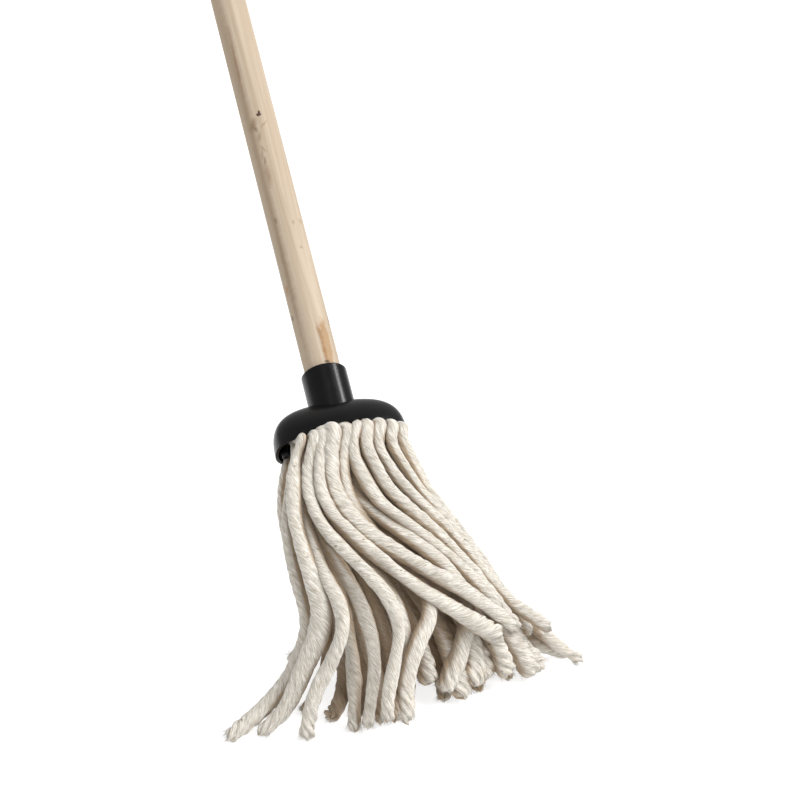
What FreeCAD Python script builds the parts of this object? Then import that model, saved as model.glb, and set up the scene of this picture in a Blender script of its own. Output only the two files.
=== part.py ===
"""String mop: wooden handle, black socket, clamp bar, screws and 26 folded cotton strings.

Millimetres, Z up.  The origin is on the floor, straight below the middle of the socket's mouth.
Socket coordinates are (u, v, w): u along the long axis of the mouth, v towards the front,
w up the axis of the handle, all measured from the middle of the mouth.
"""
import os
import math
import FreeCAD
import Part

V = FreeCAD.Vector
os.makedirs("parts", exist_ok=True)

# ---- placing of the socket ---------------------------------------------------------------
MOUTH_HEIGHT = 150.0
LEAN_DEG = 48.0
SWING_DEG = 18.0
ROLL_DEG = 7.0

# ---- socket ------------------------------------------------------------------------------
HOOD_HEIGHT = 29.5
NECK_TOP = 51.8
NECK_RADIUS = 14.75
MOUTH_HALF_LENGTH = 42.5
MOUTH_HALF_WIDTH = 24.0
LENGTH_CURVE = 2.8
WIDTH_CURVE = 1.7
NECK_ROOT = 17.0
WALL = 2.0
HOOD_LEVELS = [0.0, 5.0, 10.0, 15.0, 19.0, 22.5, 25.5, 27.6, 29.0]
CEILING = 23.6
BORE_FLOOR = 26.5
BORE_RADIUS = 9.0
GROOVE_RADIUS = 10.8
COUNTERBORE_FLOOR = 49.4
COUNTERBORE_RADIUS = 12.5

# ---- handle ------------------------------------------------------------------------------
HANDLE_RADIUS = 11.75
HANDLE_TOP = 1225.0
HANDLE_FOOT = 26.6
HANDLE_SHOULDER = 49.6
SEAT_RADIUS = 11.7
SEAT_TOP = 62.0
CORE_RADIUS = 8.6
CREST_RADIUS = 10.4
PITCH = 5.0
THREAD_LENGTH = 20.0
THREAD_START = HANDLE_FOOT + 1.7
HANG_HOLE_RADIUS = 3.5
HANG_HOLE_HEIGHT = 1195.0

# ---- clamp bar and screws ------------------------------------------------------------------
BAR_BOTTOM = -0.4
BAR_TOP = 4.6
BAR_HALF_WIDTH = 1.8
BAR_HALF_LENGTH = 36.0
EYE_CENTRE_RADIUS = 3.9
EYE_END_RADIUS = 3.2
BOSS_BOTTOM = 4.65
BOSS_CENTRE_RADIUS = 4.0
BOSS_END_RADIUS = 3.0
SCREW_CENTRE = dict(u=0.0, shank=1.75, head=3.5, tip=16.0)
SCREW_LEFT = dict(u=-36.0, shank=1.3, head=2.8, tip=12.0)
SCREW_RIGHT = dict(u=36.0, shank=1.3, head=2.8, tip=12.0)
SCREW_CLEARANCE = 0.05
HEAD_HEIGHT = 2.4

# ---- strings -----------------------------------------------------------------------------
STRING_DIAMETER = 5.6
ARC_SHARE = 0.45
FOLD_W = dict(top=19.0, middle=13.2, low=7.45)
FOLD_V = dict(
    top={18.3: 12.0, 12.6: 13.0, 6.9: 13.5},
    middle={29.7: 9.5, 24.0: 9.5, 18.3: 7.8, 12.6: 8.0, 6.9: 8.5},
    low={29.7: 4.5, 24.0: 4.5, 18.3: 4.0, 12.6: 4.0, 6.9: 4.0})
RIM_V = dict(top=17.7, middle=11.85, low=6.0)
RIM_W = dict(top=0.0, middle=0.0, low=-2.0)
END_RIM_BACK = (-33.0, 10.6)

# One row per string: place along the mouth, layer in the hood, then the hand-laid route of its
# front half and of its back half, both from the mouth down to the tip, in millimetres.
STRINGS = [
    (-29.7, "middle",
     [(-28, -26, 150), (-29, -45, 138), (-28, -60, 122), (-22, -74, 106), (-15, -88, 90),
      (-10, -97, 76), (-13, -102, 60), (-21, -106, 44), (-27, -109, 29), (-35, -111, 14),
      (-47, -113, 4)],
     [(-37, -9, 122), (-36, -19, 105), (-31, -26, 86), (-26, -33, 66), (-22, -36, 46), (-21, -28, 24),
      (-25, -12, 7), (-33, 6, 4)]),
    (-29.7, "low",
     [(-29, -25, 135), (-34, -42, 120), (-31, -57, 99), (-25, -70, 80), (-20, -81, 63), (-24, -87, 46),
      (-33, -96, 28), (-49, -108, 14), (-67, -119, 3)],
     [(-30, -10, 124), (-28, -23, 102), (-25, -37, 79), (-20, -46, 56), (-19, -51, 30), (-25, -58, 9),
      (-37, -74, 3)]),
    (-24.0, "middle",
     [(-19, -29, 151), (-20, -48, 135), (-12, -65, 120), (3, -79, 109), (18, -91, 98), (31, -101, 86),
      (37, -109, 70), (34, -114, 52), (30, -116, 33), (29, -117, 15)],
     [(-24, 3, 122), (-25, -8, 101), (-22, -17, 78), (-16, -22, 52), (-14, -16, 24), (-20, 2, 5),
      (-25, 26, 3)]),
    (-24.0, "low",
     [(-21, -28, 138), (-22, -48, 122), (-16, -68, 107), (-8, -87, 94), (1, -101, 83), (3, -111, 69),
      (-4, -115, 52), (-13, -116, 35), (-18, -116, 19), (-20, -117, 3)],
     [(-22, -8, 123), (-22, -19, 98), (-18, -30, 76), (-11, -38, 50), (-8, -44, 24), (-14, -60, 5),
      (-22, -80, 3)]),
    (-18.3, "top",
     [(-12, -30, 154), (-13, -48, 138), (-4, -60, 123), (12, -68, 110), (31, -71, 95), (48, -70, 81),
      (65, -67, 69), (81, -62, 56), (97, -57, 44)],
     [(-17, 7, 118), (-18, -3, 97), (-15, -11, 74), (-10, -14, 48), (-8, -6, 20), (-13, 14, 3),
      (-21, 38, 3)]),
    (-18.3, "middle",
     [(-14, -28, 140), (-16, -47, 123), (-9, -63, 108), (3, -78, 94), (13, -89, 78), (20, -97, 60),
      (22, -102, 41), (19, -106, 23), (17, -109, 6)],
     [(-15, -1, 115), (-15, -12, 94), (-11, -22, 71), (-5, -28, 45), (-4, -25, 18), (-5, -8, 3),
      (-5, 13, 3)]),
    (-18.3, "low",
     [(-14, -24, 135), (-12, -42, 114), (-7, -58, 92), (2, -72, 68), (8, -84, 42), (9, -94, 19),
      (9, -106, 3)],
     [(-14, -7, 123), (-12, -20, 97), (-7, -34, 70), (0, -43, 44), (3, -50, 18), (0, -68, 3),
      (-6, -90, 3)]),
    (-12.6, "top",
     [(-6, -28, 155), (-5, -43, 138), (4, -54, 124), (19, -62, 112), (38, -64, 100), (57, -63, 88),
      (76, -60, 76), (92, -55, 62), (107, -50, 47)],
     [(-10, 8, 118), (-10, -2, 97), (-7, -9, 73), (-1, -11, 47), (2, -2, 20), (1, 20, 3), (-6, 46, 3)]),
    (-12.6, "middle",
     [(-7, -26, 142), (-7, -42, 122), (2, -54, 108), (17, -61, 94), (31, -69, 78), (39, -76, 60),
      (42, -80, 40), (40, -84, 20), (41, -86, 3)],
     [(-8, 0, 114), (-7, -11, 93), (-3, -20, 69), (4, -25, 43), (7, -22, 17), (7, -4, 3), (9, 18, 3)]),
    (-12.6, "low",
     [(-7, -23, 135), (-5, -38, 117), (0, -52, 96), (8, -63, 72), (16, -73, 46), (26, -86, 18),
      (25, -98, 4)],
     [(-7, -6, 124), (-4, -19, 97), (2, -31, 70), (10, -39, 44), (14, -46, 18), (13, -64, 3),
      (10, -84, 3)]),
    (-6.9, "top",
     [(2, -26, 155), (2, -37, 141), (8, -47, 124), (23, -50, 107), (40, -55, 91), (53, -61, 76),
      (56, -72, 63), (48, -84, 52), (42, -95, 38), (40, -102, 24), (42, -106, 9)],
     [(-2, 10, 118), (-2, 0, 97), (2, -7, 73), (9, -8, 47), (14, 1, 20), (17, 24, 3), (14, 52, 3)]),
    (-6.9, "middle",
     [(1, -24, 142), (7, -37, 130), (24, -47, 119), (43, -56, 108), (61, -57, 94), (76, -52, 75),
      (80, -51, 56), (76, -56, 38), (70, -62, 24), (64, -66, 11)],
     [(-1, 2, 115), (1, -9, 94), (6, -17, 70), (15, -21, 44), (20, -17, 17), (22, 2, 3), (27, 24, 3)]),
    (-6.9, "low",
     [(-1, -21, 136), (2, -34, 118), (8, -46, 97), (18, -57, 74), (28, -66, 48), (34, -75, 22),
      (34, -92, 3)],
     [(0, -4, 125), (4, -16, 98), (11, -27, 71), (20, -34, 45), (26, -40, 19), (28, -58, 3),
      (26, -78, 3)]),
    (6.9, "top",
     [(6, -26, 156), (14, -37, 141), (24, -46, 128), (39, -51, 118), (55, -51, 104), (71, -48, 90),
      (85, -44, 73), (98, -43, 56)],
     [(5, 12, 119), (7, 3, 98), (13, -3, 74), (22, -4, 48), (29, 6, 21), (34, 28, 3), (34, 56, 3)]),
    (6.9, "middle",
     [(6, -23, 145), (12, -33, 129), (23, -41, 114), (41, -51, 97), (59, -50, 78), (73, -45, 56),
      (84, -49, 34), (83, -57, 13)],
     [(6, 4, 116), (10, -6, 95), (17, -13, 71), (28, -16, 45), (35, -11, 18), (39, 8, 3), (45, 30, 3)]),
    (6.9, "low",
     [(6, -19, 139), (8, -32, 120), (15, -43, 100), (31, -52, 77), (44, -58, 52), (52, -62, 34),
      (54, -63, 16)],
     [(7, -2, 126), (12, -13, 100), (21, -22, 73), (32, -28, 47), (40, -34, 21), (43, -50, 3),
      (41, -72, 3)]),
    (12.6, "top",
     [(15, -24, 158), (22, -33, 146), (29, -39, 135), (41, -43, 124), (56, -45, 111), (70, -43, 95),
      (84, -39, 77), (97, -35, 58), (110, -31, 38)],
     [(13, 14, 120), (17, 6, 99), (25, 0, 76), (37, 0, 50), (46, 10, 23), (52, 30, 3), (56, 58, 3)]),
    (12.6, "middle",
     [(13, -22, 146), (20, -34, 131), (29, -41, 115), (49, -45, 96), (69, -46, 72), (87, -44, 48),
      (99, -43, 30), (104, -41, 12)],
     [(13, 6, 117), (19, -3, 97), (29, -9, 73), (42, -11, 47), (51, -5, 20), (57, 12, 3), (64, 34, 3)]),
    (12.6, "low",
     [(13, -18, 140), (14, -29, 121), (24, -38, 102), (39, -45, 80), (56, -48, 55), (70, -52, 30),
      (76, -62, 6)],
     [(14, 0, 127), (21, -10, 102), (33, -17, 76), (46, -22, 50), (55, -27, 24), (60, -42, 5),
      (62, -60, 3)]),
    (18.3, "top",
     [(22, -20, 158), (30, -28, 145), (39, -34, 134), (52, -37, 122), (65, -36, 107), (79, -33, 90),
      (91, -29, 71), (105, -26, 54), (118, -24, 45), (131, -23, 35)],
     [(20, 16, 121), (22, 8, 101), (33, 4, 78), (49, 5, 52), (62, 14, 25), (71, 32, 3), (78, 58, 3)]),
    (18.3, "middle",
     [(21, -19, 147), (26, -29, 133), (40, -34, 116), (58, -36, 95), (76, -34, 70), (96, -28, 46),
      (110, -26, 22), (120, -28, 7)],
     [(20, 8, 119), (24, 1, 99), (36, -4, 76), (54, -5, 50), (67, 1, 22), (75, 14, 3), (84, 34, 3)]),
    (18.3, "low",
     [(20, -17, 139), (21, -25, 122), (36, -31, 103), (53, -35, 82), (69, -36, 58), (85, -38, 34),
      (90, -46, 10)],
     [(21, 2, 128), (25, -6, 103), (40, -12, 78), (57, -15, 52), (70, -20, 27), (77, -30, 8),
      (84, -46, 3)]),
    (24.0, "middle",
     [(30, -17, 158), (40, -24, 142), (49, -28, 130), (59, -30, 119), (70, -29, 104), (82, -26, 87),
      (93, -22, 68), (105, -18, 48), (118, -15, 29)],
     [(28, 12, 121), (34, 6, 101), (48, 2, 78), (65, 4, 52), (83, 12, 24), (92, 28, 3), (100, 50, 3)]),
    (24.0, "low",
     [(30, -15, 147), (36, -23, 131), (49, -26, 113), (66, -26, 91), (84, -23, 66), (100, -20, 43),
      (115, -21, 20), (126, -17, 6)],
     [(28, 5, 129), (34, -2, 104), (50, -7, 80), (66, -8, 54), (84, -6, 28), (94, -12, 8),
      (106, -26, 3)]),
    (29.7, "middle",
     [(37, -12, 158), (46, -18, 141), (54, -20, 126), (62, -21, 115), (73, -19, 100), (85, -16, 82),
      (97, -12, 62), (111, -8, 42), (130, -4, 21), (152, 0, 3)],
     [(35, 12, 124), (42, 7, 104), (58, 4, 80), (76, 6, 54), (96, 12, 26), (109, 24, 3), (122, 42, 3)]),
    (29.7, "low",
     [(37, -9, 146), (43, -16, 129), (53, -17, 109), (70, -15, 84), (87, -10, 58), (111, -4, 34),
      (126, 2, 12), (144, 12, 3)],
     [(35, 5, 131), (42, -1, 108), (60, -4, 82), (77, -4, 56), (97, -1, 30), (112, 6, 8),
      (126, 18, 3)]),
]


# ---- socket frame ------------------------------------------------------------------------
def socket_axes():
    """The three unit directions u, v, w of the socket."""
    lean = math.radians(LEAN_DEG)
    swing = math.radians(SWING_DEG)
    roll = math.radians(ROLL_DEG)
    w = V(-math.sin(lean) * math.sin(swing), math.sin(lean) * math.cos(swing), math.cos(lean))
    level = V(math.cos(swing), math.sin(swing), 0)
    upward = level.cross(w)
    if upward.z < 0:
        upward = upward * -1
    u = level * math.cos(roll) + upward * math.sin(roll)
    v = u.cross(w)
    if v.z < 0:
        v = v * -1
    return u, v, w


U_AXIS, V_AXIS, W_AXIS = socket_axes()
MOUTH = V(0, 0, MOUTH_HEIGHT)
# Local shapes are drawn with x = u, y = -v and z = w, a right-handed set, then placed.
PLACE = FreeCAD.Matrix(
    U_AXIS.x, -V_AXIS.x, W_AXIS.x, MOUTH.x,
    U_AXIS.y, -V_AXIS.y, W_AXIS.y, MOUTH.y,
    U_AXIS.z, -V_AXIS.z, W_AXIS.z, MOUTH.z,
    0, 0, 0, 1)


def at(u, v, w):
    """World point of socket coordinates."""
    return MOUTH + U_AXIS * u + V_AXIS * v + W_AXIS * w


def cylinder(radius, low, high, u=0.0):
    return Part.makeCylinder(radius, high - low, V(u, 0, low), V(0, 0, 1))


def save(name, shape):
    """Place a shape drawn in socket coordinates and write it."""
    placed = shape.copy()
    placed.Placement = FreeCAD.Placement(PLACE)
    export(name, placed)


def export(name, shape):
    solids = shape.Solids
    if len(solids) != 1 or not shape.isValid():
        raise RuntimeError("%s: %d solids, valid %s" % (name, len(solids), shape.isValid()))
    solids[0].exportStep("parts/%s.step" % name)
    print("%-20s %9.1f mm3" % (name, shape.Volume))


# ---- socket ------------------------------------------------------------------------------
def oval(half_length, half_width, exponent, height):
    """A closed smooth superellipse at one height."""
    count = 48
    points = []
    for step in range(count):
        angle = 2 * math.pi * (step + 0.5) / count
        c = math.cos(angle)
        s = math.sin(angle)
        x = half_length * math.copysign(abs(c) ** (2 / exponent), c)
        y = half_width * math.copysign(abs(s) ** (2 / exponent), s)
        points.append(V(x, y, height))
    curve = Part.BSplineCurve()
    curve.interpolate(points, PeriodicFlag=True)
    return Part.Wire([curve.toShape()])


def taper(share, power):
    """What is left of a half width at a share of the height, for a superellipse side."""
    return max(0.0, 1 - share ** power) ** (1 / power)


def hood_solid(inset, levels):
    """The hood: a ridge that stays high along the mouth, its surface moved inwards by inset."""
    top = HOOD_HEIGHT - inset
    wires = []
    for level in levels:
        height = min(level, top - 0.4)
        share = height / top
        length = (MOUTH_HALF_LENGTH - inset) * taper(share, LENGTH_CURVE)
        width = (MOUTH_HALF_WIDTH - inset) * taper(share, WIDTH_CURVE)
        exponent = 2.0 + 0.5 * math.sqrt(taper(share, 2.0))
        wires.append(oval(length, width, exponent, height))
    return Part.makeLoft(wires, True, False)


def thread(root, crest, base, tip, length, lead_deg=0.0, sink=0.3):
    """A helical ridge round the axis, rooted inside its core, begun lead_deg early."""
    helix = Part.makeHelix(PITCH, length, root)
    points = [V(root - sink, 0, -base / 2), V(root, 0, -base / 2), V(crest, 0, -tip / 2),
              V(crest, 0, tip / 2), V(root, 0, base / 2), V(root - sink, 0, base / 2)]
    profile = Part.makePolygon(points + [points[0]])
    ridge = Part.Wire(helix).makePipeShell([profile], True, True)
    ridge.rotate(V(0, 0, 0), V(0, 0, 1), -lead_deg)
    ridge.translate(V(0, 0, THREAD_START - PITCH * lead_deg / 360))
    return ridge


def socket():
    outside = hood_solid(0.0, HOOD_LEVELS)
    neck = cylinder(NECK_RADIUS, NECK_ROOT, NECK_TOP)
    crown = max(edge.BoundBox.ZMax for edge in neck.Edges)
    rims = [edge for edge in neck.Edges if edge.BoundBox.ZMin > crown - 0.01]
    neck = neck.makeFillet(0.9, rims)
    hollow_levels = [level for level in HOOD_LEVELS if level < CEILING] + [CEILING]
    hollow = hood_solid(WALL, hollow_levels)
    bosses = [cylinder(BOSS_CENTRE_RADIUS, BOSS_BOTTOM, CEILING + 1)]
    for screw in (SCREW_LEFT, SCREW_RIGHT):
        boss = cylinder(BOSS_END_RADIUS, BOSS_BOTTOM, CEILING, screw["u"])
        bosses.append(boss.common(outside))
    body = outside.fuse(neck).cut(hollow).fuse(bosses)
    for screw in (SCREW_CENTRE, SCREW_LEFT, SCREW_RIGHT):
        radius = screw["shank"] + SCREW_CLEARANCE
        body = body.cut(cylinder(radius, 0.0, screw["tip"] + 0.5, screw["u"]))
    bore = cylinder(BORE_RADIUS, BORE_FLOOR, NECK_TOP + 1)
    mouth = cylinder(COUNTERBORE_RADIUS, COUNTERBORE_FLOOR, NECK_TOP + 1)
    groove = thread(BORE_RADIUS, GROOVE_RADIUS, 3.6, 2.0, 5 * PITCH, 30.0)
    body = body.cut(bore).cut(mouth).cut(groove)
    return body


# ---- handle, clamp bar, screws -------------------------------------------------------------
def handle():
    stick = cylinder(HANDLE_RADIUS, SEAT_TOP, HANDLE_TOP)
    top = [edge for edge in stick.Edges if edge.BoundBox.ZMin > HANDLE_TOP - 0.01]
    stick = stick.makeFillet(8.0, top)
    core = cylinder(CORE_RADIUS, HANDLE_FOOT, HANDLE_SHOULDER + 1)
    foot = [edge for edge in core.Edges if edge.BoundBox.ZMax < HANDLE_FOOT + 0.01]
    core = core.makeChamfer(0.8, foot)
    body = core.fuse(thread(CORE_RADIUS, CREST_RADIUS, 3.0, 1.4, THREAD_LENGTH))
    body = body.fuse([cylinder(SEAT_RADIUS, HANDLE_SHOULDER, SEAT_TOP), stick])
    hole = Part.makeCylinder(HANG_HOLE_RADIUS, 40, V(0, -20, HANG_HOLE_HEIGHT), V(0, 1, 0))
    return body.cut(hole)


def clamp_bar():
    height = BAR_TOP - BAR_BOTTOM
    bar = Part.makeBox(2 * BAR_HALF_LENGTH, 2 * BAR_HALF_WIDTH, height,
                       V(-BAR_HALF_LENGTH, -BAR_HALF_WIDTH, BAR_BOTTOM))
    eyes = [cylinder(EYE_CENTRE_RADIUS, BAR_BOTTOM, BAR_TOP)]
    for screw in (SCREW_LEFT, SCREW_RIGHT):
        eyes.append(cylinder(EYE_END_RADIUS, BAR_BOTTOM, BAR_TOP, screw["u"]))
    bar = bar.fuse(eyes).removeSplitter()
    for screw in (SCREW_CENTRE, SCREW_LEFT, SCREW_RIGHT):
        radius = screw["shank"] + SCREW_CLEARANCE
        hole = cylinder(radius, BAR_BOTTOM - 1, BAR_TOP + 1, screw["u"])
        bar = bar.cut(hole)
    return bar


def screw(spec):
    """A pan-head screw with a crossed recess, its head under the bar."""
    seat = BAR_BOTTOM - SCREW_CLEARANCE
    head = cylinder(spec["head"], seat - HEAD_HEIGHT, seat, spec["u"])
    face = [edge for edge in head.Edges if edge.BoundBox.ZMax < seat - HEAD_HEIGHT + 0.01]
    head = head.makeFillet(0.9, face)
    shank = cylinder(spec["shank"], seat - 0.5, spec["tip"], spec["u"])
    tip = [edge for edge in shank.Edges if edge.BoundBox.ZMin > spec["tip"] - 0.01]
    shank = shank.makeChamfer(0.6, tip)
    body = head.fuse(shank)
    reach = spec["head"] * 0.55
    low = seat - HEAD_HEIGHT - 0.1
    for half_u, half_v in ((reach, 0.4), (0.4, reach)):
        slot = Part.makeBox(2 * half_u, 2 * half_v, 1.2, V(spec["u"] - half_u, -half_v, low))
        body = body.cut(slot)
    return body


# ---- strings -----------------------------------------------------------------------------
def fold_points(u, layer, side):
    """Corner in the hood and point at the mouth, for the front (+1) or back (-1) half."""
    corner_v = FOLD_V[layer][abs(u)]
    rim_u = u
    rim_v = RIM_V[layer]
    if side < 0 and u == STRINGS[0][0] and layer == "middle":
        rim_u, rim_v = END_RIM_BACK
    return [at(u, side * corner_v, FOLD_W[layer]), at(rim_u, side * rim_v, RIM_W[layer])]


def string_points(u, layer, front, back):
    """All control points of one string, from its front tip over the fold to its back tip."""
    points = [V(*p) for p in reversed(front)]
    points += reversed(fold_points(u, layer, 1))
    points += fold_points(u, layer, -1)
    points += [V(*p) for p in back]
    return points


def rounded_wire(points):
    """Straight runs joined by tangent arcs; gives the wire, its length and smallest radius."""
    edges = []
    radii = []
    length = 0.0
    last = points[0]
    for before, corner, after in zip(points, points[1:], points[2:]):
        inward = before - corner
        outward = after - corner
        reach = ARC_SHARE * min(inward.Length, outward.Length)
        inward.normalize()
        outward.normalize()
        turn = math.pi - inward.getAngle(outward)
        radius = reach / math.tan(turn / 2)
        start = corner + inward * reach
        end = corner + outward * reach
        middle_line = inward + outward
        middle_line.normalize()
        middle = corner + middle_line * (math.hypot(radius, reach) - radius)
        edges.append(Part.makeLine(last, start))
        edges.append(Part.Arc(start, middle, end).toShape())
        length += (start - last).Length + radius * turn
        radii.append(radius)
        last = end
    edges.append(Part.makeLine(last, points[-1]))
    length += (points[-1] - last).Length
    return Part.Wire(edges), length, min(radii)


def string_solid(points):
    wire, length, radius = rounded_wire(points)
    direction = points[1] - points[0]
    circle = Part.makeCircle(STRING_DIAMETER / 2, points[0], direction)
    tube = wire.makePipeShell([Part.Wire([circle])], True, False, 2)
    section = math.pi * (STRING_DIAMETER / 2) ** 2
    print("length %6.1f  smallest radius %5.2f  volume error %6.3f %%"
          % (length, radius, 100 * (tube.Volume / (section * length) - 1)))
    return tube


save("socket", socket())
save("handle", handle())
save("clamp_bar", clamp_bar())
save("clamp_screw_centre", screw(SCREW_CENTRE))
save("clamp_screw_left", screw(SCREW_LEFT))
save("clamp_screw_right", screw(SCREW_RIGHT))
for number, (place, layer, front, back) in enumerate(STRINGS, 1):
    export("string_%02d" % number, string_solid(string_points(place, layer, front, back)))
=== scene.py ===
"""String mop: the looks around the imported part.  Metres, Z up, the floor at z = 0.

The camera is in front, 18 degrees above the level.  Each string is two yarns, one for each half,
from its fold in the socket to its tip.  A yarn's route repeats the points of its CAD solid.  A few
points of two back halves are moved by up to 4 mm, to close gaps.
"""
import math
import bpy
import numpy as np
from mathutils import Matrix, Vector

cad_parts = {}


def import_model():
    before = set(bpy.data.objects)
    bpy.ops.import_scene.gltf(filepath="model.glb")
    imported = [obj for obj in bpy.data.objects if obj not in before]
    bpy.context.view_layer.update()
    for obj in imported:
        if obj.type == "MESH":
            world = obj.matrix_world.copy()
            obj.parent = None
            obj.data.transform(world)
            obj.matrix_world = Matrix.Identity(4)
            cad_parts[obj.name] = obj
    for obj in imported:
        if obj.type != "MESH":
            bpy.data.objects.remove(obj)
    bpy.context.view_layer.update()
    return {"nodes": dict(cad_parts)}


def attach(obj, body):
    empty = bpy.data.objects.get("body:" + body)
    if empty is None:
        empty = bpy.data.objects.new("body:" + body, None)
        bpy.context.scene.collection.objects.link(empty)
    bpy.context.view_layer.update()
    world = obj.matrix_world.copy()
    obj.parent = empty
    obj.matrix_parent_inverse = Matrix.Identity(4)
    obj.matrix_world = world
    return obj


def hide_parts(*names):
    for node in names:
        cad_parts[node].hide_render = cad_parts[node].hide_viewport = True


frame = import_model()

# ---- camera, light and floor -------------------------------------------------------------------
CAMERA_PLACE = (0.03673, -1.71280, 0.73582)
CAMERA_DOWN_DEG = 18.0
CAMERA_LENS = 129.5
CAMERA_SENSOR = 36.0
SKY = 0.50              # light from all round
FLOOR_SIZE = 30.0
FLOOR_GREY = 0.4        # what the floor reflects
FLOOR_GLOW = 0.78       # what it gives off by itself, so that shadows stay faint

# ---- placing of the socket, as in the CAD part -------------------------------------------------
MOUTH = Vector((0.0, 0.0, 0.150))
LEAN = math.radians(48.0)
SWING = math.radians(18.0)
ROLL = math.radians(7.0)
STICK_RADIUS = 0.01175

# ---- yarn: its shape ---------------------------------------------------------------------------
YARN_RADIUS = 0.0041    # the usual one, for the texture and the painted shade
PLIES = 5
LAY = 0.036             # length of one turn of the plies
LAY_SPREAD = (0.88, 1.15)
STEP = 0.0008           # between the rings along the yarn
ROUND = 40              # points in a ring
GROOVE = 0.09           # mean depth between the plies, as a share of the radius
GROOVE_RANGE = (0.02, 0.2)
GROOVE_SHARPNESS = 2.6
SQUASH = 0.09           # flattening, as a share of the radius
RIDGES = ((13, 0.016), (29, 0.018), (47, 0.012))    # count round the yarn, share of the radius
LOOSE_END = 0.022       # length of the cut end over which the plies open
LOOSE_GROOVE = 0.34     # added to the grooves at the cut end
LOOSE_SWELL = 2         # added unevenness of the plies at the cut end, as a multiple
TIP_ROUND = 0.0034      # length over which the tip closes
TIP_REACH = (0.0004, 0.0040)    # how far single plies stick out at the tip
TIP_SHARPNESS = 5
HOLD_SHARE = 1.25       # no point is farther from the line than the largest radius times this
HOLD_EXTRA = 0.0013     # and this added
FLOOR_GAP = 0.00015     # no point is lower than this
ANY_WAY = (0.31, 0.77, 0.55)    # a direction that no yarn starts along

# how a yarn changes along its length: length of the waves, size
THICKNESS_WAVE = (0.018, 0.085)     # radius, as a share
DRIFT_WAVE = (0.02, 0.35)           # turn of the plies, radians
SWELL_WAVE = (0.012, 0.05)          # each ply, as a share of the radius
GROOVE_WAVE = (0.025, 0.05)         # grooves, as a share of the radius
SQUASH_WAVE = (0.03, 1.2)           # direction of the flattening, radians
RIDGE_WAVE = (0.006, 2.2)           # place of the ridges, radians

# ---- yarn: its loose fibres --------------------------------------------------------------------
FIBRE_PARTS = 4         # quads in a fibre
FIBRE_POINTS = (FIBRE_PARTS + 1) * 2
FIBRE_TAPER = 0.8       # share of the width lost towards its end
FIBRE_BEND = (0.1, 0.45)
FIBRE_PATCH = 0.02      # size of the texture patch that fibres take their colour from
TEXTURE_SHIFT = 0.013   # between the textures of one yarn and the next
FUZZ_PER_METRE = 2600
FUZZ_START = 0.1        # share of the length without fuzz, in the socket
FUZZ_DEPTH = 0.88       # share of the radius where a fibre starts
FUZZ_ALONG = (0.6, 0.7)     # mean and spread of a fibre's lean along the yarn
FUZZ_OUT = 0.38
FUZZ_ROUND = (-0.5, 0.6)    # and round it
FUZZ_LENGTH = (0.0012, 0.0034)
FUZZ_WIDTH = 0.00005
TIP_FIBRES = 110
TIP_DEPTH = 0.003       # how far inside the tip its fibres start
TIP_FILL = 0.95         # share of the radius over which they start
TIP_SPREAD = 0.35
TIP_TANGLE = 0.16
TIP_LENGTH = (0.003, 0.0062)
TIP_WIDTH = 0.00012

# ---- yarn: painted shade where its neighbours close in -----------------------------------------
CROWD_SIDES = 8         # directions looked at round a ring
CROWD_EVERY = 5         # one ring in this many is looked at
CROWD_STEP = 0.004      # between the points that stand for a neighbour
CROWD_AREA = CROWD_STEP * 2 * YARN_RADIUS       # what one of those points covers
CROWD_NEAR = 0.003      # nearer neighbours count as this far
TIP_PAINTED_SHADE = 0.5          # share of the painted shade that the tip's fibres get

# ---- strings in the socket ---------------------------------------------------------------------
# u is across the mouth, v to the front and w up the stick, all from the middle of the mouth.
# By layer: how high the fold is, and how wide at each place along the mouth.
FOLD_W = dict(top=0.0190, middle=0.0132, low=0.00745)
FOLD_V = dict(
    top={0.0183: 0.0120, 0.0126: 0.0130, 0.0069: 0.0135},
    middle={0.0297: 0.0095, 0.0240: 0.0095, 0.0183: 0.0078, 0.0126: 0.0080, 0.0069: 0.0085},
    low={0.0297: 0.0045, 0.0240: 0.0045, 0.0183: 0.0040, 0.0126: 0.0040, 0.0069: 0.0040})
# By layer: where a half passes the mouth.  END_RIM_BACK is u and v for the back of string 1.
RIM_V = dict(top=0.0177, middle=0.01185, low=0.0060)
RIM_W = dict(top=0.0, middle=0.0, low=-0.0020)
END_RIM_BACK = (-0.0330, 0.0106)
RIM_OUT = 0.0012        # how far outside the rim the front row's extra point is
RIM_UP = -0.0030

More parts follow.
